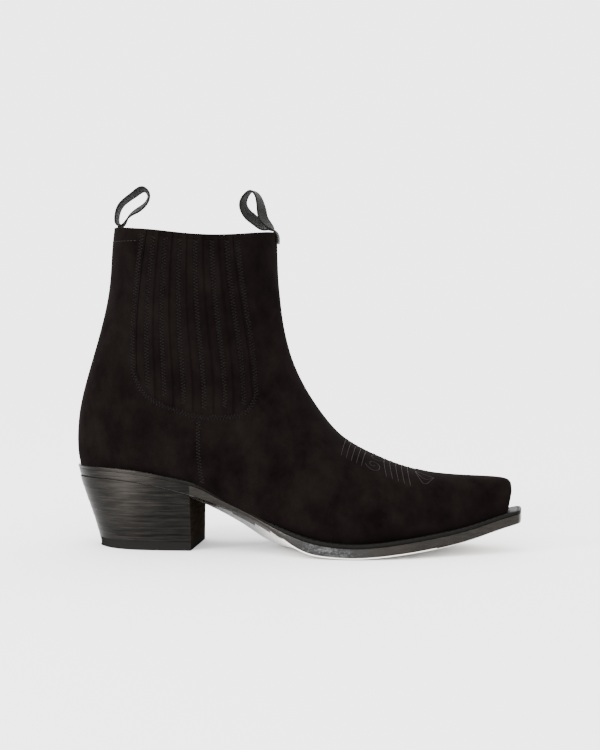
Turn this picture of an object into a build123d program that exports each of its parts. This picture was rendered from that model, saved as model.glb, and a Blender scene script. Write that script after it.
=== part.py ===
from build123d import *
import math
import os

# Western pull-on ankle boot, right foot. Millimetres, +Z up, toe towards +X, outer side towards -Y.
# Origin: middle of the outsole's length and width, on the ground.

# ---- Driving dimensions ----
outsole_length = 305.0
ball_width = 104.0
toe_x = outsole_length / 2
heel_x = -outsole_length / 2

upper_skin = 1.6
interlayer_skin = 0.9
lining_skin = 1.0
layer_gap = 0.05

insole_thickness = 3.0
sock_thickness = 1.3
welt_inside = 9.0
insole_inside = 13.0

breast_x = -68.3
heel_bottom_back_x = -135.9
heel_bottom_half_width = 27.0
top_lift_thickness = 6.0

gore_underlap = 7.0
toe_puff_back_x = 92.0
counter_front_x = -50.0
counter_top_z = 112.0

shank_width = 13.0
shank_thickness = 1.4
shank_low = -0.9
shank_y = -1.5
shank_front_x = -4.0
shank_back_x = -112.0

tab_tape_width = 11.0
tab_tape_thickness = 1.3

peg_radius = 0.8
heel_nail_radius = 1.3
heel_nail_low = 20.0
heel_nail_high = 50.3
lift_nail_radius = 1.0

far_side = 75.0
far_up = 260.0
hairline_shifts = (0.0, 0.011, -0.013, 0.023, -0.027, 0.037, -0.041, 0.003, -0.005, 0.017, -0.019)
smallest_volume = 1.0
volume_error = 0.01
least_kept = 0.8

# ---- Curves of the bottom, as (x, z) ----
# Feather line: where the upper meets the top of the welt and the rand.
FEATHER = [
    (-160, 55.3), (-140, 56.3), (-126, 56.1), (-110, 54.9), (-94, 52.6), (-78, 49.6),
    (-66, 46.6), (-58, 43.0), (-50, 38.4), (-35, 31.4), (-24, 26.6), (-11, 21.2),
    (4, 16.2), (20, 12.2), (36, 10.5), (52, 10.7), (77, 13.7), (104, 18.7),
    (124, 24.2), (138, 28.1), (160, 32.6),
]
# Joint between the welt or rand above and the outsole below.
WELT_BOTTOM = [
    (-160, 53.1), (-140, 54.1), (-126, 53.9), (-110, 52.7), (-94, 50.4), (-78, 47.4),
    (-66, 44.4), (-58, 41.2), (-50, 37.0), (-35, 30.3), (-24, 25.4), (-11, 19.5),
    (4, 14.0), (20, 9.7), (36, 7.9), (52, 8.1), (77, 11.1), (104, 16.1),
    (124, 21.7), (138, 25.6), (160, 30.2),
]
# Underside of the outsole: x, height at the edge, height on the centre line, half width of the edge.
CROWN = [
    (-160, 48.0, 47.6, 33.0),
    (-128, 48.6, 48.2, 33.0),
    (-104, 46.4, 45.4, 33.5),
    (-84, 42.6, 39.6, 33.0),
    (-68.3, 38.6, 32.6, 32.0),
    (-54, 34.6, 25.9, 31.5),
    (-44, 31.4, 20.6, 31.5),
    (-33, 27.4, 14.2, 33.0),
    (-19, 21.4, 5.4, 36.0),
    (-8, 15.0, 1.7, 40.0),
    (4, 8.4, 0.45, 46.0),
    (14, 4.4, 0.12, 49.5),
    (25, 2.9, 0.02, 51.5),
    (38, 2.6, 0.0, 52.0),
    (52, 3.1, 0.35, 51.0),
    (70, 4.7, 2.2, 47.0),
    (95, 9.3, 7.6, 37.5),
    (122, 15.6, 14.7, 25.0),
    (142, 20.8, 20.3, 17.0),
    (160, 24.4, 24.0, 17.0),
]

# ---- Plan outline of the welt and outsole, as (x, y), from the heel's back round to it again ----
half_ball = ball_width / 2
OUTLINE_OUTER = [
    (-146.5, -16.0), (-134, -27.5), (-112, -33.4), (-88, -33.2), (-64, -31.0), (-42, -31.0),
    (-20, -36.6), (0, -45.2), (19, -51.0), (36, -half_ball), (54, -50.6), (76, -45.2),
    (102, -33.8), (126, -22.2), (142, -15.4), (149.5, -10.5),
]
OUTLINE_INNER = [
    (149.5, 14.5), (142, 19.0), (126, 25.4), (102, 36.0), (78, 46.4), (60, 51.0),
    (44, half_ball), (26, 49.8), (4, 40.4), (-16, 31.8), (-38, 27.6), (-62, 29.4),
    (-88, 33.0), (-112, 33.4), (-134, 27.5), (-146.5, 16.0),
]
toe_middle_y = 2.0
OUTLINE = [(heel_x, 0.0)] + OUTLINE_OUTER + [(toe_x, toe_middle_y)] + OUTLINE_INNER

# ---- Sections of the shoemaker's last, from the toe to above the topline ----
# Each plane holds the Y direction. Row: front x, front z, back x, back z, half width, middle y,
# widest place (share of the chord from the back), fullness of the back half, of the front half,
# share of an inset that pushes the whole plane backwards.
LAST = [
    (146.6, 46.2, 146.8, 13.5, 11.0, 2.0, 0.62, 2.7, 2.5, 0.9),
    (144.8, 48.3, 145.2, 12.5, 12.7, 2.0, 0.60, 2.7, 2.5, 0.75),
    (141.2, 49.6, 141.6, 11.5, 14.0, 2.0, 0.58, 2.6, 2.4, 0.5),
    (135.0, 50.3, 135.6, 10.3, 16.0, 1.9, 0.56, 2.6, 2.4, 0.25),
    (126.0, 50.7, 126.6, 8.6, 19.4, 1.7, 0.53, 2.6, 2.3, 0.1),
    (114.5, 51.1, 115.6, 6.4, 24.4, 1.4, 0.49, 2.6, 2.2, 0.0),
    (101.0, 51.9, 102.6, 4.2, 30.4, 1.1, 0.45, 2.6, 2.15, 0.0),
    (86.0, 53.8, 88.2, 2.0, 36.8, 0.8, 0.41, 2.6, 2.1, 0.0),
    (68.4, 58.4, 71.0, 0.0, 42.6, 0.6, 0.37, 2.6, 2.1, 0.0),
    (48.0, 67.0, 49.0, -2.0, 46.8, 0.3, 0.31, 2.6, 2.1, 0.0),
    (30.0, 78.6, 26.0, -1.5, 46.2, -0.8, 0.28, 2.6, 2.05, 0.0),
    (16.0, 95.6, 0.0, 3.5, 41.0, -2.8, 0.28, 2.5, 2.0, 0.0),
    (6.0, 111.5, -28.0, 13.5, 36.6, -2.8, 0.30, 2.4, 2.0, 0.0),
    (-1.5, 127.2, -62.0, 29.0, 34.6, -1.2, 0.33, 2.4, 2.0, 0.0),
    (-5.9, 141.2, -101.0, 37.5, 34.4, -0.4, 0.36, 2.4, 2.0, 0.0),
    (-8.6, 154.0, -142.0, 43.5, 34.4, 0.0, 0.38, 2.5, 2.0, 0.0),
    (-10.3, 166.5, -152.1, 76.0, 34.6, 0.0, 0.41, 2.35, 2.05, 0.0),
    (-11.6, 179.0, -147.7, 107.5, 34.9, 0.0, 0.45, 2.2, 2.1, 0.0),
    (-12.4, 191.0, -137.2, 143.5, 35.4, 0.0, 0.48, 2.15, 2.15, 0.0),
    (-12.8, 203.0, -129.6, 176.5, 36.0, 0.0, 0.50, 2.15, 2.15, 0.0),
    (-13.0, 213.0, -127.3, 203.5, 36.4, 0.0, 0.50, 2.15, 2.15, 0.0),
    (-13.2, 226.0, -124.3, 228.0, 36.6, 0.0, 0.50, 2.15, 2.15, 0.0),
]
section_steps = 6

# ---- Side outlines, as (x, z) ----
TOPLINE = [
    (-180, 219.9), (-150, 219.6), (-126, 218.8), (-112, 217.7), (-94, 216.2), (-74, 213.9), (-54, 212.5),
    (-38, 212.8), (-24, 214.0), (-12, 215.2), (10, 216.6),
    (60, 218.6), (180, 219.0),
]
GORE_BACK = [(-95.2, 224.0), (-98.6, 203.0), (-101.4, 182.0), (-103.3, 162.0), (-104.0, 142.0), (-103.6, 122.0)]
GORE_FOOT = [(-96.5, 108.5), (-73.8, 97.4), (-61.0, 93.8), (-46.0, 93.9), (-32.5, 95.6)]
GORE_FRONT = [(-25.2, 106.0), (-28.0, 130.0), (-31.6, 154.0), (-34.8, 178.0), (-37.0, 200.0), (-38.4, 224.0)]
SIDE_SEAM = [(-60.9, 94.0), (-61.5, 76.2), (-60.9, 62.8), (-58.8, 44.8), (-55.0, 20.0)]

# ---- Pull tabs, as (x, z): outer edge of the webbing loop, from its seam round to it again ----
REAR_TAB = [
    (-123.6, 221.0), (-125.2, 228.4), (-122.6, 235.2), (-112.4, 243.5), (-105.3, 246.7),
    (-101.7, 242.7), (-102.9, 237.2), (-109.4, 231.4), (-116.4, 226.2), (-121.2, 220.6),
]
FRONT_TAB = [
    (-16.2, 217.6), (-20.8, 224.6), (-22.8, 231.0), (-24.2, 237.6), (-26.6, 242.6),
    (-30.4, 244.8), (-34.8, 241.4), (-36.9, 235.2), (-34.0, 228.6), (-27.0, 222.2), (-20.2, 217.4),
]

# ---- Heel levels: height, back x, half width ----
HEEL_LEVELS = [
    (-1.0, heel_bottom_back_x, heel_bottom_half_width),
    (14.0, -139.6, 27.9),
    (28.0, -143.9, 29.4),
    (42.0, -148.4, 31.6),
    (58.0, -152.9, 33.9),
]
# Joints between the heel's lifts: height at the breast, height at the back.
LIFT_JOINTS = [
    (0.0, 0.0), (top_lift_thickness, top_lift_thickness), (10.7, 11.0), (15.2, 16.0), (19.6, 21.1),
    (23.9, 26.3), (28.1, 31.5), (32.2, 36.7), (36.2, 41.9), (44.0, 52.0),
]


# ---- Helpers ----
def side_slab(face):
    """Solid across the whole boot from a face in the XZ plane."""
    return extrude(Pos(0, -far_side, 0) * face, amount=2 * far_side, dir=(0, 1, 0))


def side_spline(points):
    return Spline(*[(x, 0, z) for x, z in points])


def side_line(*points):
    return Polyline(*[(x, 0, z) for x, z in points])


def lifted(curve, rise):
    return [(x, z + rise) for x, z in curve]


def above(curve, top=far_up):
    """Everything above a curve of the bottom."""
    corners = [(curve[-1][0], top), (curve[0][0], top), curve[0]]
    return side_slab(make_face(side_line(*curve, *corners)))


def below(curve, bottom=-40.0):
    """Everything below a curve."""
    return above(curve, bottom)


def between(low_curve, high_curve):
    """Layer between two curves of the bottom."""
    corners = list(low_curve) + list(reversed(high_curve)) + [low_curve[0]]
    return side_slab(make_face(side_line(*corners)))


def block(x_low, x_high, z_low=-40.0, z_high=far_up):
    """Box across the whole boot between two stations."""
    size = (x_high - x_low, 2 * far_side, z_high - z_low)
    centre = ((x_low + x_high) / 2, 0, (z_low + z_high) / 2)
    return Pos(*centre) * Box(*size)


def sound(shape):
    """True for a shape that exists and closes."""
    return shape is not None and shape.is_valid and shape.volume > smallest_volume


def divided(shape, tool):
    """The parts of a shape inside and outside a tool. A hairline shift frees a cut that grazes an edge."""
    for shift in hairline_shifts:
        moved = Pos(shift, 0, shift) * tool
        try:
            kept = shape & moved
            rest = shape - moved
        except ValueError:
            continue
        if not (sound(kept) and sound(rest)):
            continue
        if abs(kept.volume + rest.volume - shape.volume) < volume_error * shape.volume:
            return kept, rest
    raise ValueError("a cut failed at every shift")


def inside(shape, tool):
    return divided(shape, tool)[0]


def outside(shape, tool):
    return divided(shape, tool)[1]


def trimmed(shape, tool):
    """Shape less a tool that takes only a little of it."""
    for shift in hairline_shifts:
        try:
            rest = shape - Pos(shift, 0, shift) * tool
        except ValueError:
            continue
        if sound(rest) and least_kept * shape.volume < rest.volume < (1 + volume_error) * shape.volume:
            return rest
    raise ValueError("a trim failed at every shift")


def largest(shape):
    """The biggest solid of a shape, without the slivers a cut may leave beside it."""
    return max(shape.solids(), key=lambda solid: solid.volume)


def cut_below(shape, curve):
    """Shape above a curve: one cut where the kernel manages it, or else one cut for each run."""
    try:
        return outside(shape, below(curve))
    except ValueError:
        pass
    reach = shape.bounding_box()
    for start, end in zip(curve[:-1], curve[1:]):
        if end[0] < reach.min.X or start[0] > reach.max.X:
            continue
        corners = (start, end, (end[0], -40.0), (start[0], -40.0), start)
        shape = trimmed(shape, side_slab(make_face(side_line(*corners))))
    return shape


def moved_inwards(points, inset):
    """Closed outline with each point moved towards the middle, square to its neighbours."""
    result = []
    count = len(points)
    for index, (x, y) in enumerate(points):
        before = points[index - 1]
        after = points[(index + 1) % count]
        dx = after[0] - before[0]
        dy = after[1] - before[1]
        length = math.hypot(dx, dy)
        result.append((x - inset * dy / length, y + inset * dx / length))
    return result


def plan_face(points):
    """Face over a closed plan outline."""
    return make_face(Spline(*[(x, y, 0) for x, y in points], periodic=True))


def plan_part(face, x_low, x_high, low=-40.0, high=100.0):
    """Upright prism over the part of a plan face between two stations."""
    strip = Pos((x_low + x_high) / 2, 0, 0) * Rectangle(x_high - x_low, 4 * far_side)
    return extrude(Pos(0, 0, low) * (face & strip), amount=high - low, dir=(0, 0, 1))


def section_wire(index, inset):
    """One plane of the last, moved inwards by an inset."""
    front_x, front_z, back_x, back_z, half, middle, widest, back_full, front_full, push = LAST[index]
    chord_x = front_x - back_x
    chord_z = front_z - back_z
    chord = math.hypot(chord_x, chord_z)
    along_x = chord_x / chord
    along_z = chord_z / chord
    shift_front = inset * slant(index, 0, along_x, along_z)
    shift_back = inset * slant(index, 2, along_x, along_z)
    start_x = back_x + along_x * shift_back - push * inset
    start_z = back_z + along_z * shift_back
    length = chord - shift_front - shift_back
    width = half - inset
    half_front = []
    half_back = []
    for step in range(section_steps + 1):
        angle = math.pi / 2 * step / section_steps
        share = widest + (1 - widest) * math.sin(angle) ** (2 / front_full)
        side = width * max(math.cos(angle), 0.0) ** (2 / front_full)
        half_front.append((start_x + along_x * length * share, side, start_z + along_z * length * share))
        share = widest - widest * math.sin(angle) ** (2 / back_full)
        side = width * max(math.cos(angle), 0.0) ** (2 / back_full)
        half_back.append((start_x + along_x * length * share, side, start_z + along_z * length * share))
    forwards = (along_x, 0, along_z)
    backwards = (-along_x, 0, -along_z)
    front_edge = closed_half(half_front, middle, 1, forwards, backwards)
    back_edge = closed_half(half_back, middle, -1, backwards, forwards)
    return Wire([front_edge, back_edge])


def closed_half(quarter, middle, sign, leaving, arriving):
    """Spline from one side of a section round its end to the other side."""
    near = [(x, middle + sign * side, z) for x, side, z in quarter]
    far = [(x, middle - sign * side, z) for x, side, z in reversed(quarter[:-1])]
    points = near + far
    steps = len(points) - 1
    return Edge.make_spline(points, tangents=[leaving, arriving], parameters=[k / steps for k in range(steps + 1)])


def slant(index, column, along_x, along_z):
    """How much an inset grows along a section's chord where the silhouette runs aslant to it."""
    before = LAST[max(index - 1, 0)]
    after = LAST[min(index + 1, len(LAST) - 1)]
    run_x = after[column] - before[column]
    run_z = after[column + 1] - before[column + 1]
    run = math.hypot(run_x, run_z)
    sine = abs(run_x * along_z - run_z * along_x) / run
    return 1 / max(sine, 0.62)


def last_volume(inset):
    """The last's volume, moved inwards by an inset."""
    return Solid.make_loft([section_wire(index, inset) for index in range(len(LAST))])


# ---- Volumes shared by the pieces ----
inter_outer = upper_skin + layer_gap
inter_inner = inter_outer + interlayer_skin
lining_outer = inter_inner + layer_gap
lining_inner = lining_outer + lining_skin

below_topline = below(TOPLINE)


def layer(outer_inset, inner_inset):
    """One leather layer of the upper, from the feather line to the topline."""
    tube = outside(inside(last_volume(outer_inset), below_topline), last_volume(inner_inset))
    return cut_below(tube, FEATHER)


def foot_layer(low, high):
    """Flat layer under the foot, a little inside the lining."""
    bed = plan_part(plan_face(moved_inwards(OUTLINE, insole_inside)), -200, 200)
    return bed & between(lifted(FEATHER, low), lifted(FEATHER, high))


insole_low = layer_gap
insole_high = insole_low + insole_thickness
sock_low = insole_high + layer_gap
sock_high = sock_low + sock_thickness

# ---- Side regions ----
gore_face = make_face([
    side_spline(GORE_BACK),
    side_spline([GORE_BACK[-1]] + GORE_FOOT + [GORE_FRONT[0]]),
    side_spline(GORE_FRONT),
    side_line(GORE_FRONT[-1], GORE_BACK[0]),
])
gore_region = side_slab(gore_face)


def wider_gore(grow):
    """The gore's outline made wider all round, for the elastic's seam allowance."""
    back = [(x - grow, z) for x, z in GORE_BACK]
    foot = [(x - grow * 0.4, z - grow) for x, z in GORE_FOOT[:3]]
    foot = foot + [(x + grow * 0.4, z - grow) for x, z in GORE_FOOT[3:]]
    front = [(x + grow, z) for x, z in GORE_FRONT]
    face = make_face([
        side_spline(back),
        side_spline([back[-1]] + foot + [front[0]]),
        side_spline(front),
        side_line(front[-1], back[0]),
    ])
    return side_slab(face)


elastic_region = wider_gore(gore_underlap)
seam_high = (SIDE_SEAM[0][0], far_up)
front_face = make_face([
    side_spline(SIDE_SEAM),
    side_line(SIDE_SEAM[-1], (SIDE_SEAM[-1][0], -60), (200, -60), (200, far_up), seam_high, SIDE_SEAM[0]),
])
front_region = side_slab(front_face)

# ---- Upper: vamp, quarter and gore covers, one leather layer with a turned-in margin ----
skin = layer(0.0, upper_skin)
gore_covers, skin_without_gores = divided(skin, gore_region)
vamp, quarter = divided(skin_without_gores, front_region)
outer_side = Pos(0, -far_side, 0) * Box(500, 2 * far_side, 600)

# ---- Layer between upper and lining ----
inter = layer(inter_outer, inter_inner)
elastics, inter_rest = divided(inter, elastic_region)
inter_front, inter_back = divided(inter_rest, front_region)
toe_puff, vamp_interlining = divided(inter_front, block(toe_puff_back_x, 200))
heel_counter, quarter_interlining = divided(inter_back, block(-200, counter_front_x, -40, counter_top_z))

# ---- Lining ----
lining = outside(layer(lining_outer, lining_inner), gore_region)
vamp_lining, quarter_lining = divided(lining, front_region)

# ---- Insole, sock and shank ----
insole = foot_layer(insole_low, insole_high)
sock_liner = foot_layer(sock_low, sock_high)
shank_layer = between(lifted(FEATHER, shank_low), lifted(FEATHER, shank_low + shank_thickness))
shank_length = shank_front_x - shank_back_x
shank_plan = Pos((shank_front_x + shank_back_x) / 2, shank_y, -20) * SlotOverall(shank_length, shank_width)
shank = inside(shank_layer, extrude(shank_plan, amount=120))
insole = insole - shank

# ---- Welt, rand and fillers ----
rand_front_x = breast_x + 4.0
outline_face = plan_face(OUTLINE)
ring_face = outline_face - plan_face(moved_inwards(OUTLINE, welt_inside))
welt_layer = between(WELT_BOTTOM, lifted(FEATHER, -layer_gap))
heel_rand = welt_layer & plan_part(ring_face, -200, rand_front_x)
welt = welt_layer & plan_part(ring_face, rand_front_x, 200)

filler_layer = between(lifted(WELT_BOTTOM, layer_gap), lifted(FEATHER, -layer_gap))
filler_face = plan_face(moved_inwards(OUTLINE, welt_inside + layer_gap))
heel_seat_filler = (filler_layer & plan_part(filler_face, -200, rand_front_x)) - shank
cork_filler = (filler_layer & plan_part(filler_face, rand_front_x, 200)) - shank


# ---- Outsole ----
def crown_section(x, edge_z, middle_z, half):
    """Cross-section above the outsole's underside: a parabola closed by a box."""
    rise = (edge_z - middle_z) * (far_side / half) ** 2
    low = middle_z
    side = middle_z + rise
    top = 140.0
    underside = Bezier((x, -far_side, side), (x, 0, 2 * low - side), (x, far_side, side))
    roof = Polyline((x, far_side, side), (x, far_side, top), (x, -far_side, top), (x, -far_side, side))
    return make_face([underside, roof])


above_underside = loft([crown_section(*row) for row in CROWN])
outsole = plan_part(outline_face, -200, 200) & below(WELT_BOTTOM) & above_underside


# ---- Upper's inner layers, cleared of the bottom ----
def clear_of(piece, *neighbours):
    """The main part of a piece once its neighbours' room is taken out of it."""
    for neighbour in neighbours:
        piece = piece - neighbour
    return largest(piece)


vamp_lining = clear_of(vamp_lining, outsole, welt)
vamp_interlining = clear_of(vamp_interlining, welt)
toe_puff = clear_of(toe_puff, welt)


# ---- Heel ----
def heel_section(z, back_x, half):
    """D-shaped level of the heel, open at the breast."""
    front_x = breast_x + 15.0
    deep = back_x - front_x
    shape = [
        (front_x, half * 0.93),
        (front_x + deep * 0.25, half * 0.97),
        (front_x + deep * 0.52, half),
        (front_x + deep * 0.76, half * 0.88),
        (front_x + deep * 0.93, half * 0.50),
        (back_x, 0.0),
    ]
    mirrored = [(x, -y) for x, y in reversed(shape[:-1])]
    side = Spline(*[(x, y, z) for x, y in shape + mirrored])
    front = Line((front_x, -half * 0.93, z), (front_x, half * 0.93, z))
    return make_face([side, front])


heel_block = loft([heel_section(*row) for row in HEEL_LEVELS])
heel_block = (heel_block & block(-200, breast_x)) - above_underside

joint_front_x = -60.0
joint_back_x = -160.0


def lift_slab(lower, upper):
    """Layer of the heel between two joints."""
    def at(joint, x):
        slope = (joint[0] - joint[1]) / (breast_x - heel_x)
        return joint[0] + slope * (x - breast_x)

    corners = [
        (joint_back_x, at(lower, joint_back_x)), (joint_front_x, at(lower, joint_front_x)),
        (joint_front_x, at(upper, joint_front_x)), (joint_back_x, at(upper, joint_back_x)),
        (joint_back_x, at(lower, joint_back_x)),
    ]
    return side_slab(make_face(side_line(*corners)))


lifts = [heel_block & lift_slab(LIFT_JOINTS[k], LIFT_JOINTS[k + 1]) for k in range(len(LIFT_JOINTS) - 1)]


# ---- Nails and pegs ----
def upright_pins(places, radius, low, high):
    return [Pos(x, y, (low + high) / 2) * Cylinder(radius, high - low) for x, y in places]


heel_nail_places = [(-84, -14), (-84, 14), (-108, -17), (-108, 17), (-128, 0)]
heel_nails = upright_pins(heel_nail_places, heel_nail_radius, heel_nail_low, heel_nail_high)
lift_nail_places = [(-76, -19), (-76, 19), (-96, -20), (-96, 20), (-117, -17), (-117, 17), (-128, 0)]
lift_nails = upright_pins(lift_nail_places, lift_nail_radius, 0.6, 14.0)
lift_nail_holes = upright_pins(lift_nail_places, lift_nail_radius, -1.0, 14.0)

peg_rows = 8
peg_start_x = -57.0
peg_pitch = 7.0
peg_places = []
for row in range(peg_rows):
    peg_x = peg_start_x + row * peg_pitch
    spread = 17.0 + 0.9 * row
    peg_places.append((peg_x, -spread - 1.5))
    peg_places.append((peg_x, spread - 3.5))
peg_cutters = upright_pins(peg_places, peg_radius, -30.0, 60.0)
waist_pegs = [outsole & cutter for cutter in peg_cutters]
outsole = outsole - peg_cutters - heel_nails
heel_seat_filler = heel_seat_filler - heel_nails
lifts = [lift - heel_nails - lift_nail_holes for lift in lifts]


# ---- Pull tabs ----
def tab_loop(points):
    """Closed loop of webbing, seen from the side, as wide as the tape."""
    outline = make_face(Spline(*[(x, 0, z) for x, z in points], periodic=True))
    hole = make_face(Spline(*[(x, 0, z) for x, z in inner_loop(points)], periodic=True))
    depth = tab_tape_width / 2
    band = extrude(Pos(0, -depth, 0) * outline, amount=2 * depth, dir=(0, 1, 0))
    return band - extrude(Pos(0, -2 * depth, 0) * hole, amount=4 * depth, dir=(0, 1, 0))


def inner_loop(points):
    """Inside of the loop, one tape thickness in from its outside."""
    area = sum(points[k - 1][0] * points[k][1] - points[k][0] * points[k - 1][1] for k in range(len(points)))
    sign = 1.0 if area > 0 else -1.0
    return moved_inwards(points, sign * tab_tape_thickness)


rear_pull_tab = tab_loop(REAR_TAB)
front_pull_tab = tab_loop(FRONT_TAB)

# ---- Write the pieces ----
pieces = {
    "vamp": vamp,
    "quarter": quarter,
    "gore_cover_outer": gore_covers & outer_side,
    "gore_cover_inner": gore_covers - outer_side,
    "elastic_gore_outer": elastics & outer_side,
    "elastic_gore_inner": elastics - outer_side,
    "toe_puff": toe_puff,
    "vamp_interlining": vamp_interlining,
    "quarter_interlining": quarter_interlining,
    "heel_counter": heel_counter,
    "vamp_lining": vamp_lining,
    "quarter_lining": quarter_lining,
    "insole": insole,
    "sock_liner": sock_liner,
    "welt": welt,
    "heel_rand": heel_rand,
    "cork_filler": cork_filler,
    "heel_seat_filler": heel_seat_filler,
    "shank": shank,
    "outsole": outsole,
    "waist_pegs": Compound(waist_pegs),
    "heel_nails": Compound(heel_nails),
    "top_lift": lifts[0],
    "top_lift_nails": Compound(lift_nails),
    "rear_pull_tab": rear_pull_tab,
    "front_pull_tab": front_pull_tab,
}
for number, lift in enumerate(lifts[1:], start=1):
    pieces[f"heel_lift_{number}"] = lift

os.makedirs("parts", exist_ok=True)
for name, shape in pieces.items():
    if shape is None:
        print(name, "EMPTY")
        continue
    export_step(shape, f"parts/{name}.step")
    print(name, len(shape.solids()), round(shape.volume), shape.is_valid, flush=True)
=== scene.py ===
import bpy
import bmesh
import math
import numpy as np
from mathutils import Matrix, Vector
from mathutils.bvhtree import BVHTree


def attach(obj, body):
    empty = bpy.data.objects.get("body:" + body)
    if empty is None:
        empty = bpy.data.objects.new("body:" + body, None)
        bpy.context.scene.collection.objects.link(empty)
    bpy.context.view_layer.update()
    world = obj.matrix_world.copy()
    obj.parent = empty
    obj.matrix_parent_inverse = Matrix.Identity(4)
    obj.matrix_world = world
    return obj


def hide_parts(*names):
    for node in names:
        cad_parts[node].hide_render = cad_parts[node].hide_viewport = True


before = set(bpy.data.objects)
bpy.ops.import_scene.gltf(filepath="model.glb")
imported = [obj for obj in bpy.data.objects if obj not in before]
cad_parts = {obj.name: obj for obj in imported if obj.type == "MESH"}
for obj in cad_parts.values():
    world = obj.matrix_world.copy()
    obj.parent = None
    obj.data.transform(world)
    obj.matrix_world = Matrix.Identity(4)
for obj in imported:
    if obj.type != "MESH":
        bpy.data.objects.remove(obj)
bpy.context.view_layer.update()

MM = 0.001

# ---------------------------------------------------------------- shape tables, millimetres
# Feather line and bottom of the welt: station and height. In front of the waist both run lower than in
# the CAD model, to follow the photograph.
FEATHER = [
    (-160, 55.3), (-140, 56.3), (-126, 56.1), (-110, 54.9), (-94, 52.6), (-78, 49.6),
    (-66, 46.6), (-58, 43.0), (-50, 38.4), (-35, 31.4), (-24, 26.6), (-11, 21.2),
    (4, 16.0), (20, 11.9), (36, 10.0), (52, 9.9), (77, 12.5), (104, 16.5),
    (124, 20.9), (138, 25.2), (160, 31.0),
]
WELT_BOTTOM = [
    (-160, 53.1), (-140, 54.1), (-126, 53.9), (-110, 52.7), (-94, 50.4), (-78, 47.4),
    (-66, 44.4), (-58, 41.2), (-50, 37.0), (-35, 30.3), (-24, 25.4), (-11, 19.5),
    (4, 13.9), (20, 9.6), (36, 7.7), (52, 7.7), (77, 10.3), (104, 14.3),
    (124, 18.7), (138, 23.0), (160, 28.8),
]
# The outsole's underside: station, height at the edge, height in the middle, half width of the edge.
CROWN = [
    (-160, 48.0, 47.6, 33.0), (-128, 48.6, 48.2, 33.0), (-104, 46.4, 45.4, 33.5), (-84, 42.6, 39.6, 33.0),
    (-68.3, 38.6, 32.6, 32.0), (-54, 34.6, 25.9, 31.5), (-44, 31.4, 20.6, 31.5), (-33, 27.4, 14.2, 33.0),
    (-19, 20.4, 5.4, 36.0), (-8, 13.6, 1.7, 40.0), (4, 7.0, 0.45, 46.0), (14, 3.1, 0.12, 49.5),
    (25, 1.4, 0.02, 51.5), (38, 0.6, 0.0, 52.0), (52, 0.8, 0.1, 51.0), (70, 2.3, 1.4, 47.0),
    (95, 5.5, 4.6, 37.5), (122, 11.2, 10.6, 25.0), (142, 17.4, 17.0, 17.0), (160, 22.4, 22.0, 17.0),
]
HALF_BALL = 52.0
TOE_X = 153.8
# Plan of the sole, from the back of the heel along the outer side to the toe and back.
OUTLINE = [
    (-152.5, 0.0),
    (-146.5, -16.0), (-134, -27.5), (-112, -33.4), (-88, -33.2), (-64, -31.0), (-42, -31.0),
    (-20, -36.6), (0, -45.2), (19, -51.0), (36, -HALF_BALL), (54, -50.6), (76, -45.2),
    (102, -33.8), (126, -22.2), (142, -15.4), (148.6, -12.9), (151.5, -11.2), (152.9, -8.6),
    (TOE_X - 0.2, -4.0), (TOE_X, 2.0), (TOE_X - 0.2, 8.0),
    (152.9, 12.6), (151.5, 15.2), (148.6, 16.8), (142, 19.0), (126, 25.4), (102, 36.0),
    (78, 46.4), (60, 51.0), (44, HALF_BALL), (26, 49.8), (4, 40.4), (-16, 31.8), (-38, 27.6), (-62, 29.4),
    (-88, 33.0), (-112, 33.4), (-134, 27.5), (-146.5, 16.0),
]
# Sections of the last: front x, front z, back x, back z, half width, middle y, widest place,
# fullness of the back half and of the front half.
LAST = [
    (146.6, 46.2, 146.8, 13.5, 11.0, 2.0, 0.62, 2.7, 2.5),
    (144.8, 48.3, 145.2, 12.5, 12.7, 2.0, 0.60, 2.7, 2.5),
    (141.2, 49.6, 141.6, 11.5, 14.0, 2.0, 0.58, 2.6, 2.4),
    (135.0, 50.3, 135.6, 10.3, 16.0, 1.9, 0.56, 2.6, 2.4),
    (126.0, 50.7, 126.6, 8.6, 19.4, 1.7, 0.53, 2.6, 2.3),
    (114.5, 51.1, 115.6, 6.4, 24.4, 1.4, 0.49, 2.6, 2.2),
    (101.0, 51.9, 102.6, 4.2, 30.4, 1.1, 0.45, 2.6, 2.15),
    (86.0, 53.8, 88.2, 2.0, 36.8, 0.8, 0.41, 2.6, 2.1),
    (68.4, 58.4, 71.0, 0.0, 42.6, 0.6, 0.37, 2.6, 2.1),
    (48.0, 67.0, 49.0, -2.0, 46.8, 0.3, 0.31, 2.6, 2.1),
    (30.0, 78.6, 26.0, -1.5, 46.2, -0.8, 0.28, 2.6, 2.05),
    (16.0, 95.6, 0.0, 3.5, 41.0, -2.8, 0.28, 2.5, 2.0),
    (6.0, 111.5, -28.0, 13.5, 36.6, -2.8, 0.30, 2.4, 2.0),
    (-1.5, 127.2, -62.0, 29.0, 34.6, -1.2, 0.33, 2.4, 2.0),
    (-5.9, 141.2, -101.0, 37.5, 34.4, -0.4, 0.36, 2.4, 2.0),
    (-8.6, 154.0, -142.0, 43.5, 34.4, 0.0, 0.38, 2.5, 2.0),
    (-10.3, 166.5, -152.1, 76.0, 34.6, 0.0, 0.41, 2.35, 2.05),
    (-11.6, 179.0, -147.7, 107.5, 34.9, 0.0, 0.45, 2.2, 2.1),
    (-12.4, 191.0, -137.2, 143.5, 35.4, 0.0, 0.48, 2.15, 2.15),
    (-12.8, 203.0, -129.6, 176.5, 36.0, 0.0, 0.50, 2.15, 2.15),
    (-13.0, 213.0, -127.3, 203.5, 36.4, 0.0, 0.50, 2.15, 2.15),
    (-13.2, 226.0, -124.3, 228.0, 36.6, 0.0, 0.50, 2.15, 2.15),
]
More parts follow.
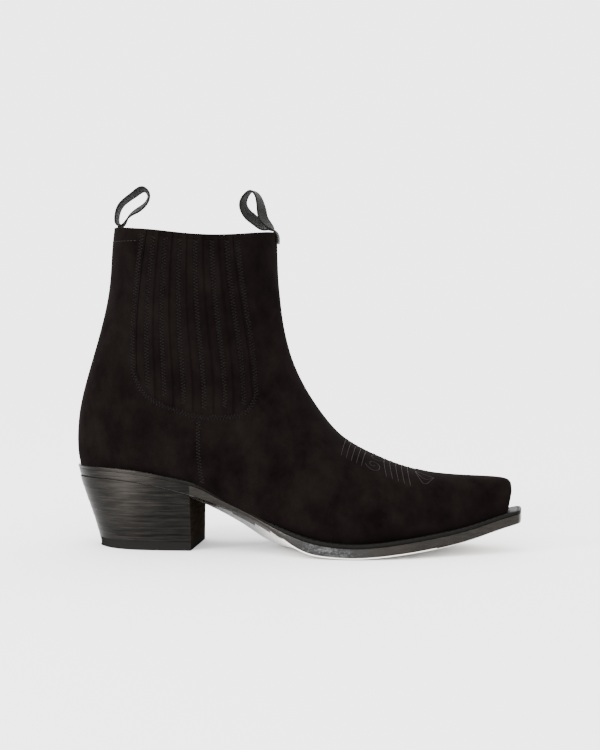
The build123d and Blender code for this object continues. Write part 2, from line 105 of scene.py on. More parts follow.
TOPLINE = [
    (-180, 219.9), (-150, 219.6), (-126, 218.8), (-112, 217.7), (-94, 216.2), (-74, 213.9), (-54, 212.5),
    (-38, 212.8), (-24, 214.0), (-12, 215.2), (10, 216.6), (60, 218.6), (180, 219.0),
]
GORE_BACK = [
    (-95.2, 224.0), (-98.6, 203.0), (-101.4, 182.0),
    (-103.3, 162.0), (-104.0, 142.0), (-103.6, 122.0),
]
GORE_FOOT = [(-96.5, 108.5), (-73.8, 97.4), (-61.0, 93.8), (-46.0, 93.9), (-32.5, 95.6)]
GORE_FRONT = [
    (-25.2, 106.0), (-28.0, 130.0), (-31.6, 154.0),
    (-34.8, 178.0), (-37.0, 200.0), (-38.4, 224.0),
]
SIDE_SEAM = [(-60.9, 94.0), (-61.5, 76.2), (-60.9, 62.8), (-58.8, 44.8), (-55.0, 20.0)]
REAR_TAB = [
    (-123.6, 221.0), (-125.2, 228.4), (-122.6, 235.2), (-112.4, 243.5), (-105.3, 246.7),
    (-101.7, 242.7), (-102.9, 237.2), (-109.4, 231.4), (-116.4, 226.2), (-121.2, 220.6),
]
FRONT_TAB = [
    (-16.2, 217.6), (-20.8, 224.6), (-22.8, 231.0), (-24.2, 237.6), (-26.6, 242.6),
    (-30.4, 244.8), (-34.8, 241.4), (-36.9, 235.2), (-34.0, 228.6), (-27.0, 222.2), (-20.2, 217.4),
]
# Levels of the heel: height, place of its back, half width.
HEEL_LEVELS = [
    (-1.0, -135.9, 27.0), (14.0, -139.6, 27.9), (28.0, -143.9, 29.4), (42.0, -148.4, 31.6),
    (58.0, -152.9, 33.9),
]
# Joints between the lifts: height at the breast and at the back.
LIFT_JOINTS = [
    (0.0, 0.0), (6.0, 6.0), (10.7, 11.0), (15.2, 16.0), (19.6, 21.1),
    (23.9, 26.3), (28.1, 31.5), (32.2, 36.7), (36.2, 41.9), (44.0, 52.0),
]
BREAST_X = -68.3


# ---------------------------------------------------------------- curves
def cubic(knots, values, at, periodic=False):
    """Cubic spline through values at knots, natural at its ends or closed on itself."""
    t = np.asarray(knots, float)
    v = np.asarray(values, float)
    flat = v.ndim == 1
    if flat:
        v = v[:, None]
    n = len(t)
    h = np.diff(t)
    size = n - 1 if periodic else n
    a = np.zeros((size, size))
    r = np.zeros((size, v.shape[1]))
    for i in range(size) if periodic else range(1, n - 1):
        before = v[i - 1] if i else v[size - 1]
        a[i, i - 1] += h[i - 1]
        a[i, i] += 2 * (h[i - 1] + h[i])
        a[i, (i + 1) % size] += h[i]
        r[i] = 6 * ((v[i + 1] - v[i]) / h[i] - (v[i] - before) / h[i - 1])
    if not periodic:
        a[0, 0] = a[-1, -1] = 1.0
    s = np.linalg.solve(a, r)
    if periodic:
        s = np.vstack([s, s[:1]])
    at = np.atleast_1d(np.asarray(at, float))
    k = np.clip(np.searchsorted(t, at, side="right") - 1, 0, n - 2)
    dt = (at - t[k])[:, None]
    hk = h[k][:, None]
    b = (v[k + 1] - v[k]) / hk - hk * (2 * s[k] + s[k + 1]) / 6
    out = v[k] + dt * (b + dt * (s[k] / 2 + dt * (s[k + 1] - s[k]) / (6 * hk)))
    return out[:, 0] if flat else out


def height_on(curve, x):
    """Height of a bottom curve at stations x."""
    c = np.asarray(curve, float)
    return cubic(c[:, 0], c[:, 1], np.ravel(x)).reshape(np.shape(x))


def unit(v):
    """Vectors brought to a length of one."""
    return v / np.maximum(np.linalg.norm(v, axis=-1, keepdims=True), 1e-9)


def lengths(p):
    """Length run along a line at each of its points."""
    return np.concatenate([[0], np.cumsum(np.linalg.norm(np.diff(p, axis=0), axis=1))])


def at_lengths(p, run, want):
    """Points of a line at the wanted lengths along it."""
    return np.stack([np.interp(want, run, p[:, k]) for k in range(p.shape[1])], axis=1)


def left_of(direction):
    """Directions in a plane, turned a quarter turn against the clock."""
    return np.stack([-direction[:, 1], direction[:, 0]], axis=1)


def closed_tangent(ring):
    return unit(np.roll(ring, -1, axis=0) - np.roll(ring, 1, axis=0))


def spread(points, count, closed=False, fine=40):
    """Points evenly spaced by length along a smooth curve through the given ones."""
    p = np.asarray(points, float)
    if closed:
        p = np.vstack([p, p[:1]])
    t = lengths(p)
    dense = cubic(t, p, np.linspace(0, t[-1], fine * len(p)), closed)
    run = lengths(dense)
    want = np.linspace(0, run[-1], count + 1 if closed else count)
    if closed:
        want = want[:-1]
    return at_lengths(dense, run, want)


def inwards(ring, inset):
    """A closed plan ring moved towards its middle; the ring runs against the clock."""
    return ring + left_of(closed_tangent(ring)) * np.asarray(inset, float).reshape(-1, 1)


# ---------------------------------------------------------------- meshes
def new_piece(name, points, faces, material, body, uvs=None):
    """A smooth mesh from points in millimetres, riding a body."""
    mesh = bpy.data.meshes.new(name)
    mesh.from_pydata([tuple(p) for p in np.asarray(points, float) * MM], [], faces)
    mesh.validate()
    mesh.polygons.foreach_set("use_smooth", [True] * len(mesh.polygons))
    if uvs is not None:
        layer = mesh.uv_layers.new(name="UVMap")
        flat = np.asarray(uvs, float)
        loops = np.empty(len(mesh.loops), dtype=np.int32)
        mesh.loops.foreach_get("vertex_index", loops)
        layer.data.foreach_set("uv", flat[loops].ravel())
    mesh.update()
    obj = bpy.data.objects.new(name, mesh)
    bpy.context.scene.collection.objects.link(obj)
    for m in material if isinstance(material, (list, tuple)) else [material]:
        mesh.materials.append(m)
    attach(obj, body)
    return obj


def grid_faces(rows, columns, close_columns=False, close_rows=False):
    """Four-sided faces over points laid in rows and columns, either way closed on itself if asked."""
    faces = []
    for r in range(rows if close_rows else rows - 1):
        for c in range(columns if close_columns else columns - 1):
            a = r * columns + c
            b = r * columns + (c + 1) % columns
            d = ((r + 1) % rows) * columns + c
            e = ((r + 1) % rows) * columns + (c + 1) % columns
            faces.append((a, b, e, d))
    return faces


THREAD_SIDES = 6
THREAD_END = 0.45
ACROSS_ALL_THREADS = (0.31, 0.27, 0.91)


def tubes(paths, radius):
    """One mesh of thread tubes along many paths, thinner at their ends; a path is an array of points."""
    points = []
    faces = []
    sides = THREAD_SIDES
    angle = np.linspace(0, 2 * math.pi, sides, endpoint=False)
    for path in paths:
        n = len(path)
        tangent = unit(np.gradient(path, axis=0))
        side = unit(np.cross(tangent, np.tile(ACROSS_ALL_THREADS, (n, 1))))
        up = np.cross(side, tangent)
        r = np.full(n, radius)
        r[[0, -1]] *= THREAD_END
        ring = (
            path[:, None, :]
            + r[:, None, None] * (np.cos(angle)[None, :, None] * side[:, None, :]
                                  + np.sin(angle)[None, :, None] * up[:, None, :])
        )
        base = len(points)
        points.extend(ring.reshape(-1, 3))
        faces += [tuple(base + v for v in face) for face in grid_faces(n, sides, close_columns=True)]
        faces.append(tuple(base + k for k in reversed(range(sides))))
        faces.append(tuple(base + (n - 1) * sides + k for k in range(sides)))
    return np.array(points), faces


# ---------------------------------------------------------------- the last's surface
AROUND = 168
ROWS_PER_SECTION = 11
# Rounded cap that closes the toe: share of the first section's size, push forwards.
TOE_CAP = ((0.0, 0.75), (0.25, 0.74), (0.5, 0.7), (0.72, 0.6), (0.86, 0.45), (0.94, 0.28), (0.985, 0.1))
# The toe leans back below a height, more and more from a station forwards.
LEAN_BELOW = 41.0
LEAN_FROM = 128.0
LEAN_OVER = 19.0
LEAN_SLOPE = 0.2


def section_loop(row, count):
    """One closed section, evenly spaced, from the front point round the outer side and back."""
    front_x, front_z, back_x, back_z, half, middle, widest, back_full, front_full = row
    a = np.linspace(0, math.pi / 2, 160)
    share_f = widest + (1 - widest) * np.cos(a) ** (2 / front_full)
    side_f = np.sin(a) ** (2 / front_full)
    share_b = widest - widest * np.sin(a[1:]) ** (2 / back_full)
    side_b = np.cos(a[1:]) ** (2 / back_full)
    share = np.concatenate([share_f, share_b])
    side = np.concatenate([side_f, side_b])
    chord = np.array([front_x - back_x, front_z - back_z])
    length = np.linalg.norm(chord)
    flat = np.stack([share * length, side * half], axis=1)
    run = lengths(flat)
    want = np.linspace(0, run[-1], count // 2 + 1)
    s = np.interp(want, run, share)
    w = np.interp(want, run, side) * half
    s = np.concatenate([s, s[-2:0:-1]])
    w = np.concatenate([-w, w[-2:0:-1]])
    x = back_x + chord[0] * s
    z = back_z + chord[1] * s
    return np.stack([x, middle + w, z], axis=1)


def last_surface():
    """Grid of the last's surface: rows from the toe's tip to the top, each a closed section."""
    last = len(LAST) - 1
    rows = cubic(np.arange(len(LAST)), np.array(LAST), np.linspace(0, last, last * ROWS_PER_SECTION + 1))
    loops = [section_loop(row, AROUND) for row in rows]
    tip = loops[0]
    centre = tip.mean(axis=0)
    cap = []
    for share, push in TOE_CAP:
        ring = centre + (tip - centre) * share
        ring[:, 0] = tip[:, 0] + push
        cap.append(ring)
    grid = np.array(cap + loops)
    near_toe = np.clip((grid[..., 0] - LEAN_FROM) / LEAN_OVER, 0, 1) ** 2
    grid[..., 0] -= near_toe * np.maximum(LEAN_BELOW - grid[..., 2], 0) * LEAN_SLOPE
    return grid


SURFACE = last_surface()


def grid_normals(g):
    """Outward normals of the surface grid."""
    du = np.roll(g, -1, axis=1) - np.roll(g, 1, axis=1)
    dv = np.gradient(g, axis=0)
    n = unit(np.cross(dv, du))
    n[0] = (1.0, 0.0, 0.0)
    return n


NORMALS = grid_normals(SURFACE)
middle_ring = SURFACE[len(SURFACE) // 2]
if np.sum((middle_ring - middle_ring.mean(axis=0)) * NORMALS[len(SURFACE) // 2]) < 0:
    NORMALS[1:] = -NORMALS[1:]

surface_tree = BVHTree.FromPolygons(
    [Vector(p) for p in SURFACE.reshape(-1, 3)],
    grid_faces(len(SURFACE), AROUND, close_columns=True),
)


def onto_side(x, z, sign):
    """The surface point and outward normal seen from one side at a place in the side view."""
    start = Vector((x, sign * 80.0, z))
    hit, normal, _, _ = surface_tree.ray_cast(start, Vector((0, -sign, 0)))
    if hit is None:
        hit, normal, _, _ = surface_tree.find_nearest(Vector((x, sign * 20.0, z)))
    if normal.y * sign < 0:
        normal = -normal
    return np.array(hit), np.array(normal)


def onto_top(x, y):
    """The surface point and normal seen from above."""
    hit, normal, _, _ = surface_tree.ray_cast(Vector((x, y, 180.0)), Vector((0, 0, -1)))
    if normal.z < 0:
        normal = -normal
    return np.array(hit), np.array(normal)


# ---------------------------------------------------------------- level functions for cutting
def ring_distance(x, z, ring):
    """Signed distance to a closed outline in the side view, positive inside."""
    px = ring[:, 0]
    pz = ring[:, 1]
    qx = np.roll(px, -1)
    qz = np.roll(pz, -1)
    best = np.full(x.shape, 1e9)
    inside = np.zeros(x.shape, bool)
    for ax, az, bx, bz in zip(px, pz, qx, qz):
        ex = bx - ax
        ez = bz - az
        t = np.clip(((x - ax) * ex + (z - az) * ez) / (ex * ex + ez * ez), 0, 1)
        best = np.minimum(best, np.hypot(x - ax - t * ex, z - az - t * ez))
        if az != bz:
            crossing = (az > z) != (bz > z)
            inside ^= crossing & (x < ax + (z - az) * ex / ez)
    return np.where(inside, best, -best)


gore_back = spread(GORE_BACK, 60)
gore_foot = spread([GORE_BACK[-1]] + GORE_FOOT + [GORE_FRONT[0]], 60)
gore_front = spread(GORE_FRONT, 60)
GORE_RING = np.vstack([gore_back, gore_foot[1:-1], gore_front])


def level_feather(p):
    return p[..., 2] - height_on(FEATHER, p[..., 0]) + 0.7


def level_topline(p):
    return height_on(TOPLINE, p[..., 0]) - p[..., 2]


def level_gore(p):
    return ring_distance(p[..., 0], p[..., 2], GORE_RING)


def level_front(p):
    seam = np.array(SIDE_SEAM)[::-1]
    z = np.clip(p[..., 2], seam[0, 1], seam[-1, 1])
    return p[..., 0] - cubic(seam[:, 1], seam[:, 0], np.ravel(z)).reshape(z.shape)


class Patch:
    """A mesh to be cut by level functions."""

    def __init__(self, points, normals, faces):
        self.points = points
        self.normals = normals
        self.faces = faces

    def cut(self, level):
        """The part of the patch where the level is positive."""
        value = level(self.points)
        points = list(self.points)
        normals = list(self.normals)
        made = {}
        faces = []

        def crossing(a, b):
            key = (min(a, b), max(a, b))
            if key not in made:
                t = value[a] / (value[a] - value[b])
                made[key] = len(points)
                points.append(self.points[a] + t * (self.points[b] - self.points[a]))
                normals.append(self.normals[a] + t * (self.normals[b] - self.normals[a]))
            return made[key]

        for face in self.faces:
            keep = [value[v] > 0 for v in face]
            if all(keep):
                faces.append(face)
                continue
            if not any(keep):
                continue
            cut_face = []
            for i, v in enumerate(face):
                w = face[(i + 1) % len(face)]
                if value[v] > 0:
                    cut_face.append(v)
                if (value[v] > 0) != (value[w] > 0):
                    cut_face.append(crossing(v, w))
            if len(cut_face) > 2:
                faces.append(tuple(cut_face))
        used = sorted({v for face in faces for v in face})
        index = {v: i for i, v in enumerate(used)}
        faces = [tuple(index[v] for v in face) for face in faces]
        return Patch(np.array(points)[used], np.array(normals)[used], faces)

    def thick(self, outer, inner):
        """Closed shell between two offsets of the patch."""
        n = self.normals / np.linalg.norm(self.normals, axis=1, keepdims=True)
        count = len(self.points)
        points = np.vstack([self.points + n * outer, self.points + n * inner])
        faces = [tuple(face) for face in self.faces]
        faces += [tuple(v + count for v in reversed(face)) for face in self.faces]
        edges = {}
        for face in self.faces:
            for i, v in enumerate(face):
                w = face[(i + 1) % len(face)]
                edges[(v, w)] = edges.get((v, w), 0) + 1
        for (v, w) in edges:
            if (w, v) not in edges:
                faces.append((w, v, v + count, w + count))
        return points, faces


def whole_patch():
    faces = grid_faces(len(SURFACE), AROUND, close_columns=True)
    return Patch(SURFACE.reshape(-1, 3), NORMALS.reshape(-1, 3), faces)


# ---------------------------------------------------------------- materials
class Shader:
    """A principled material with a few procedural inputs in object coordinates."""

    def __init__(self, name, base, rough, **settings):
        self.material = bpy.data.materials.new(name)
        self.material.use_nodes = True
        self.tree = self.material.node_tree
        self.bsdf = self.tree.nodes["Principled BSDF"]
        self.bsdf.inputs["Base Color"].default_value = (*base, 1.0)
        self.bsdf.inputs["Roughness"].default_value = rough
        for key, value in settings.items():
            self.bsdf.inputs[key.replace("_", " ")].default_value = value
        self.normal = None

    def node(self, kind, **inputs):
        made = self.tree.nodes.new(kind)
        for key, value in inputs.items():
            made.inputs[key.replace("_", " ")].default_value = value
        return made

    def link(self, a, b):
        self.tree.links.new(a, b)

    def place(self, stretch):
        """Object coordinates stretched per axis."""
        coords = self.tree.nodes.new("ShaderNodeTexCoord")
        mapping = self.node("ShaderNodeMapping")
        mapping.inputs["Scale"].default_value = stretch
        self.link(coords.outputs["Object"], mapping.inputs["Vector"])
        return mapping.outputs["Vector"]

    def noise(self, scale, detail=3.0, rough=0.6, stretch=(1, 1, 1)):
        made = self.node("ShaderNodeTexNoise", Scale=scale, Detail=detail, Roughness=rough)
        self.link(self.place(stretch), made.inputs["Vector"])
        return made.outputs["Fac"]

    def ramp(self, factor, stops):
        made = self.tree.nodes.new("ShaderNodeValToRGB")
        elements = made.color_ramp.elements
        while len(elements) < len(stops):
            elements.new(0.5)
        for element, (position, colour) in zip(elements, stops):
            element.position = position
            element.color = (*colour, 1.0)
        self.link(factor, made.inputs["Fac"])
        return made.outputs["Color"]

    def math(self, operation, a, b=0.0):
        made = self.tree.nodes.new("ShaderNodeMath")
        made.operation = operation
        for socket, value in zip(made.inputs, (a, b)):
            if isinstance(value, (int, float)):
                socket.default_value = value
            else:
                self.link(value, socket)
        return made.outputs["Value"]

    def axis(self, number):
        """One object coordinate, in metres."""
        place = self.tree.nodes.new("ShaderNodeTexCoord")
        axes = self.tree.nodes.new("ShaderNodeSeparateXYZ")
        self.link(place.outputs["Object"], axes.inputs["Vector"])
        return axes.outputs[number]

    def band(self, number, centre, reach):
        """One at a place along an axis, falling evenly to nothing at a reach either side of it."""
        away = self.math("ABSOLUTE", self.math("SUBTRACT", self.axis(number), centre))
        return self.math("MAXIMUM", self.math("SUBTRACT", 1.0, self.math("DIVIDE", away, reach)), 0.0)

    def colour(self, output):
        self.link(output, self.bsdf.inputs["Base Color"])

    def bump(self, height, strength, distance):
        made = self.node("ShaderNodeBump", Strength=strength, Distance=distance)
        self.link(height, made.inputs["Height"])
        if self.normal is not None:
            self.link(self.normal, made.inputs["Normal"])
        self.normal = made.outputs["Normal"]
        self.link(self.normal, self.bsdf.inputs["Normal"])


def grey(value, warm=0.0):
    return (value * (1 + warm), value, value * (1 - warm))


def suede(name, dark, light):
    """Black split leather: nap that catches light at grazing angles, brushed patches."""
    s = Shader(name, light, 0.95, Sheen_Weight=0.012, Sheen_Roughness=0.4, Specular_IOR_Level=0.0)
    s.bsdf.inputs["Sheen Tint"].default_value = (1.0, 0.95, 0.92, 1.0)
    patches = s.noise(55.0, 5.0, 0.62, (1.0, 1.0, 0.75))
    s.colour(s.ramp(patches, [(0.3, dark), (0.72, light)]))
    s.bump(s.noise(1500.0, 3.0, 0.75), 0.35, 0.00025)
    s.bump(s.noise(420.0, 4.0, 0.7), 0.3, 0.0003)
    return s.material


suede_black = suede("suede_black", (0.0016, 0.00112, 0.00105), (0.0042, 0.0031, 0.0029))
# The gores' suede: the same suede with a lighter dark tone, painted light that lifts the shade in the
# recessed gores.
suede_gore_painted_lighter = suede("suede_gore_painted_lighter", (0.0019, 0.0014, 0.0013), (0.0042, 0.0031, 0.0029))


def plain_look(name, base, rough, grain, strength, depth, shine=0.5, **settings):
    """A material of one colour with a noise bump; grain is what the noise is made with."""
    s = Shader(name, base, rough, Specular_IOR_Level=shine, **settings)
    s.bump(s.noise(*grain), strength, depth)
    return s.material


thread = plain_look("thread_black", grey(0.0105, 0.08), 0.6, (2600.0, 2.0), 0.3, 0.0001, 0.03)
# The welt is darker than the inked edge: painted shade where the upper overhangs it.
welt_leather = plain_look("welt_leather", grey(0.0032, 0.1), 0.45, (700.0, 4.0), 0.4, 0.0003, 0.03)
rubber = plain_look("rubber_black", grey(0.0075, 0.04), 0.6, (1200.0, 3.0), 0.3, 0.0002, 0.0)
lining_brown = (0.035, 0.024, 0.018)
lining = plain_look("lining_leather", lining_brown, 0.62, (800.0, 4.0), 0.3, 0.0002, Sheen_Weight=0.1)
sock = plain_look("sock_leather", (0.05, 0.034, 0.025), 0.6, (650.0, 4.0), 0.3, 0.0002)
board = plain_look("insole_board", (0.22, 0.13, 0.07), 0.8, (500.0, 4.0), 0.3, 0.0002)
canvas = plain_look("canvas_black", (0.008, 0.007, 0.0065), 0.9, (1600.0, 2.0), 0.4, 0.0002, 0.02)
fibreboard = plain_look("fibre_board", (0.009, 0.007, 0.006), 0.8, (700.0, 3.0), 0.3, 0.0002, 0.02)
elastic = plain_look("elastic_black", grey(0.014), 0.8, (1.0, 2.0, 0.6, (1600.0, 300.0, 300.0)), 0.5, 0.0003)
steel = plain_look("steel", (0.42, 0.42, 0.43), 0.35, (900.0, 2.0), 0.1, 0.0001, Metallic=1.0)
wood = plain_look("peg_wood", (0.33, 0.21, 0.11), 0.65, (1.0, 3.0, 0.6, (1800.0, 1800.0, 160.0)), 0.3, 0.0002)

cork = Shader("cork", (0.24, 0.14, 0.07), 0.9)
cork.colour(cork.ramp(cork.noise(520.0, 4.0), [(0.35, (0.12, 0.06, 0.03)), (0.65, (0.3, 0.18, 0.09))]))
cork = cork.material

# Webbing: slanting ridges that turn back in each of the tape's columns.
TAPE_COLUMNS = 2.5
RIDGES_PER_MM = 0.8
RIDGE_SLANT = 2.4
webbing = Shader("webbing_black", grey(0.0052, 0.06), 0.62, Specular_IOR_Level=0.06)
tape_uv = webbing.tree.nodes.new("ShaderNodeUVMap")
tape_uv.uv_map = "UVMap"
split = webbing.tree.nodes.new("ShaderNodeSeparateXYZ")
webbing.link(tape_uv.outputs["UV"], split.inputs["Vector"])
column = webbing.math("MULTIPLY", split.outputs["Y"], TAPE_COLUMNS)
slant = webbing.math("MULTIPLY", webbing.math("PINGPONG", column, 0.5), RIDGE_SLANT)
along_tape = webbing.math("MULTIPLY", split.outputs["X"], RIDGES_PER_MM)
turn = webbing.math("MULTIPLY", webbing.math("ADD", along_tape, slant), 2 * math.pi)
webbing.bump(webbing.math("SINE", turn), 0.8, 0.00035)
webbing.bump(webbing.noise(2600.0, 2.0), 0.4, 0.0001)
webbing = webbing.material

# Stacked leather: fine layers, with a painted highlight: a lighter band on the heel's side, brighter higher
# up.
stack = Shader("stacked_leather", grey(0.012, 0.05), 0.3, Specular_IOR_Level=0.03)
grain = stack.noise(1.0, 4.0, 0.7, (45.0, 45.0, 900.0))
# Painted highlight: a vertical band lighter near the middle of the heel's side, growing with height.
painted_highlight = stack.band(0, -0.112, 0.026)
painted_highlight = stack.math("MULTIPLY", painted_highlight, stack.math("MULTIPLY", stack.axis(2), 9.0))
grain_and_painted_highlight = stack.math("ADD", grain, painted_highlight)
stack_grain_and_highlight_tones = [(0.36, grey(0.002, 0.08)), (0.62, grey(0.0072, 0.1)), (0.98, grey(0.022, 0.12))]
stack.colour(stack.ramp(grain_and_painted_highlight, stack_grain_and_highlight_tones))
stack.bump(grain, 0.45, 0.00035)
stack.bump(stack.noise(1.0, 3.0, 0.7, (160.0, 160.0, 2400.0)), 0.35, 0.00015)
stack = stack.material

breast = Shader("heel_breast", grey(0.0022, 0.22), 0.5, Specular_IOR_Level=0.0)
breast_grain = breast.noise(1.0, 4.0, 0.7, (60.0, 60.0, 700.0))
breast.colour(breast.ramp(breast_grain, [(0.3, grey(0.003, 0.2)), (0.75, grey(0.012, 0.35))]))
breast.bump(breast_grain, 0.35, 0.0003)
breast = breast.material

# Inked edge of the sole, with painted glints (painted highlights) under the ball.
edge = Shader("inked_edge", grey(0.012, 0.06), 0.24, Specular_IOR_Level=0.12)
edge_grain = edge.noise(1.0, 4.0, 0.7, (130.0, 130.0, 520.0))
# Painted glints: noise lightens the colour in a band under the ball.
painted_glint = edge.math("MULTIPLY", edge.noise(800.0, 3.0, 0.75), edge.band(0, 0.028, 0.06))
grain_and_painted_highlight = edge.math("ADD", edge.math("MULTIPLY", edge_grain, 0.6), painted_glint)
edge_grain_and_glint_tones = [(0.2, grey(0.003, 0.15)), (0.45, grey(0.0095, 0.25)), (0.7, grey(0.013)), (0.95, grey(0.06))]
edge.colour(edge.ramp(grain_and_painted_highlight, edge_grain_and_glint_tones))
edge.bump(edge_grain, 0.5, 0.0003)
edge = edge.material

# Underside of the sole: plain leather in front, inked from the waist back with a slightly wavy border; the
# plain leather is painted with shade, darker towards the waist.
INK_BORDER = -0.052
INK_WAVE = 0.022
INK_SHARPNESS = 300.0
sole = Shader("sole_leather", (0.7, 0.67, 0.62), 0.55)
along = sole.axis(0)
wave = sole.math("ADD", sole.math("MULTIPLY", sole.noise(95.0, 3.0), INK_WAVE), -INK_WAVE / 2)
ink = sole.math("SUBTRACT", wave, sole.math("SUBTRACT", along, INK_BORDER))
ink = sole.math("MULTIPLY", ink, INK_SHARPNESS)
ink_edge = sole.tree.nodes.new("ShaderNodeClamp")
sole.link(ink, ink_edge.inputs["Value"])
fibre = sole.noise(260.0, 5.0, 0.65)
# Painted shade: the plain leather darkens from the front of the waist back to the ink border.
painted_waist_shade = sole.math("MINIMUM", sole.math("MULTIPLY", sole.math("ADD", along, 0.05), 14.0), 0.8)
painted_waist_shade = sole.math("ADD", painted_waist_shade, sole.math("MULTIPLY", fibre, 0.3))
plain = sole.ramp(painted_waist_shade, [(0.1, grey(0.045)), (0.5, grey(0.15)), (0.95, (0.72, 0.69, 0.64))])
blend = sole.tree.nodes.new("ShaderNodeMix")
blend.data_type = "RGBA"
sole.link(ink_edge.outputs["Result"], blend.inputs[0])
sole.link(plain, blend.inputs[6])
sole.link(sole.ramp(fibre, [(0.2, grey(0.004)), (0.9, grey(0.014))]), blend.inputs[7])
sole.colour(blend.outputs[2])
sole.bump(fibre, 0.2, 0.0002)
sole = sole.material


# ---------------------------------------------------------------- upper
def finish_mesh(obj, angle=0.7):
    """Outward normals, and a sharp edge wherever two faces meet steeply."""
    work = bmesh.new()
    work.from_mesh(obj.data)
    bmesh.ops.recalc_face_normals(work, faces=work.faces)
    work.to_mesh(obj.data)
    work.free()
    obj.data.set_sharp_from_angle(angle=angle)
    return obj


def leather(name, patch, outer, inner, material, slot, *nodes):
    """A layer of the upper between two depths under the surface, in place of CAD nodes."""
    points, faces = patch.thick(outer, inner)
    obj = finish_mesh(new_piece(name, points, faces, material, "boot"))
    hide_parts(*nodes)
    return obj


SUEDE = 1.6
GORE_SUEDE = 0.8
LINING_DEPTHS = (-2.65, -3.6)
base = whole_patch().cut(level_feather).cut(level_topline)
around_gore = base.cut(lambda p: -level_gore(p))
front_part = around_gore.cut(level_front)
back_part = around_gore.cut(lambda p: -level_front(p))
leather("vamp_suede", front_part, 0.0, -SUEDE, suede_black, "suede", "vamp")
leather("quarter_suede", back_part, 0.0, -SUEDE, suede_black, "suede", "quarter")
leather("shaft_lining", base, *LINING_DEPTHS, lining, "lining_leather", "vamp_lining", "quarter_lining")

GORE_LINES = (0.10, 0.245, 0.41, 0.585, 0.765, 0.925)
GORE_FOLDS = (0.0, 0.172, 0.328, 0.498, 0.675, 0.845, 1.0)
GORE_RECESS = -0.55
GORE_WIDTH = 70.0
PLEAT_HEIGHT = 0.9
PLEAT_PEAK = 0.9
BAND_DEPTH = 0.4
BAND_HALF_WIDTH = 1.9
back_line = np.array(GORE_BACK)[::-1]
front_line = np.array(GORE_FRONT)


def gore_x(share, z):
    """Station at a share of the gore's width, at a height."""
    back, front = [
        cubic(line[:, 1], line[:, 0], np.clip(z, line[0, 1], line[-1, 1])) for line in (back_line, front_line)
    ]
    return back + (front - back) * share


def gore_relief(share):
    """Depth of the gathered suede: pleats like low saw teeth, drawn in under each stitched band."""
    share = np.asarray(share, float)
    folds = np.array(GORE_FOLDS)
    k = np.clip(np.searchsorted(folds, share, side="right") - 1, 0, len(folds) - 2)
    t = (share - folds[k]) / (folds[k + 1] - folds[k])
    tooth = np.where(t < PLEAT_PEAK, t / PLEAT_PEAK, 1 - (t - PLEAT_PEAK) / (1 - PLEAT_PEAK))
    relief = GORE_RECESS + PLEAT_HEIGHT * tooth
    for line in GORE_LINES:
        relief = relief - BAND_DEPTH * np.exp(-(((share - line) * GORE_WIDTH) / BAND_HALF_WIDTH) ** 4)
    return relief


def gore_patch(sign):
    """The gathered suede over one gore, as a patch of the surface in relief."""
    shares = np.linspace(0, 1, 241)
    heights = np.linspace(92.0, 218.0, 85)
    grid = np.zeros((len(heights), len(shares), 3))
    for r, z in enumerate(heights):
        xs = gore_x(shares, np.full(len(shares), z))
        for c, x in enumerate(xs):
            grid[r, c] = onto_side(x, z, sign)[0]
    normal = unit(np.cross(np.gradient(grid, axis=1), np.gradient(grid, axis=0)))
    if np.mean(normal[..., 1]) * sign < 0:
        normal = -normal
    grid = grid + normal * gore_relief(shares)[None, :, None]
    faces = grid_faces(len(heights), len(shares))
    patch = Patch(grid.reshape(-1, 3), normal.reshape(-1, 3), faces)
    return patch.cut(level_topline).cut(lambda p: level_gore(p) + 0.15)


for side_name, side_sign in (("outer", -1), ("inner", 1)):
    patch = gore_patch(side_sign)
    node = f"gore_cover_{side_name}"
    leather(f"gore_suede_{side_name}", patch, 0.0, -GORE_SUEDE, suede_gore_painted_lighter, "suede", node)


# Turned edge round the topline, closing suede over lining.
def topline_points():
    """Where the columns of the surface cross the topline, from the top row downwards."""
    ring = np.full((AROUND, 3), np.nan)
    before = SURFACE[-1]
    before_heights = before[:, 2] - height_on(TOPLINE, before[:, 0])
    for row in SURFACE[-2::-1]:
        heights = row[:, 2] - height_on(TOPLINE, row[:, 0])
        cross = (before_heights > 0) & (heights <= 0)
        t = before_heights / np.where(cross, before_heights - heights, 1)
        here = before + (row - before) * t[:, None]
        ring[cross] = here[cross]
        before = row
        before_heights = heights
    return ring[~np.isnan(ring[:, 0])]


top_ring = spread(topline_points(), 360, closed=True, fine=6)
top_out = unit(np.cross(closed_tangent(top_ring), np.array([0.0, 0.0, 1.0])))
if np.sum((top_ring - top_ring.mean(axis=0)) * top_out) < 0:
    top_out = -top_out
ROLL_MIDDLE = -1.8
ROLL_RADIUS = 1.84
ROLL_RISE = 0.75
ROLL_FOOT = -2.4
roll = [(-3.62, ROLL_FOOT)]
for angle in np.linspace(0, math.pi, 9):
    roll.append((ROLL_MIDDLE + ROLL_RADIUS * math.cos(angle), ROLL_RISE * math.sin(angle) + 0.1))
roll.append((0.04, ROLL_FOOT))
rows = [top_ring + top_out * across + np.array([0, 0, rise]) for across, rise in roll]
points = np.array(rows).reshape(-1, 3)
faces = grid_faces(len(roll), len(top_ring), close_columns=True, close_rows=True)
finish_mesh(new_piece("topline_fold", points, faces, suede_black, "boot"), 1.2)


# ---------------------------------------------------------------- stitching
STITCH = 1.05
SWING = 1.4
THREAD = 0.27
THREAD_LIFT = 0.12
BESIDE_GORE = 2.5


def zigzag(path):
    """A zigzag about a path in the side view, by hand-sized stitches."""
    line = spread(path, max(int(lengths(path)[-1] / STITCH), 3), fine=8)
    swing = SWING * np.where(np.arange(len(line)) % 2, 1, -1)
    return line + left_of(unit(np.gradient(line, axis=0))) * swing[:, None]


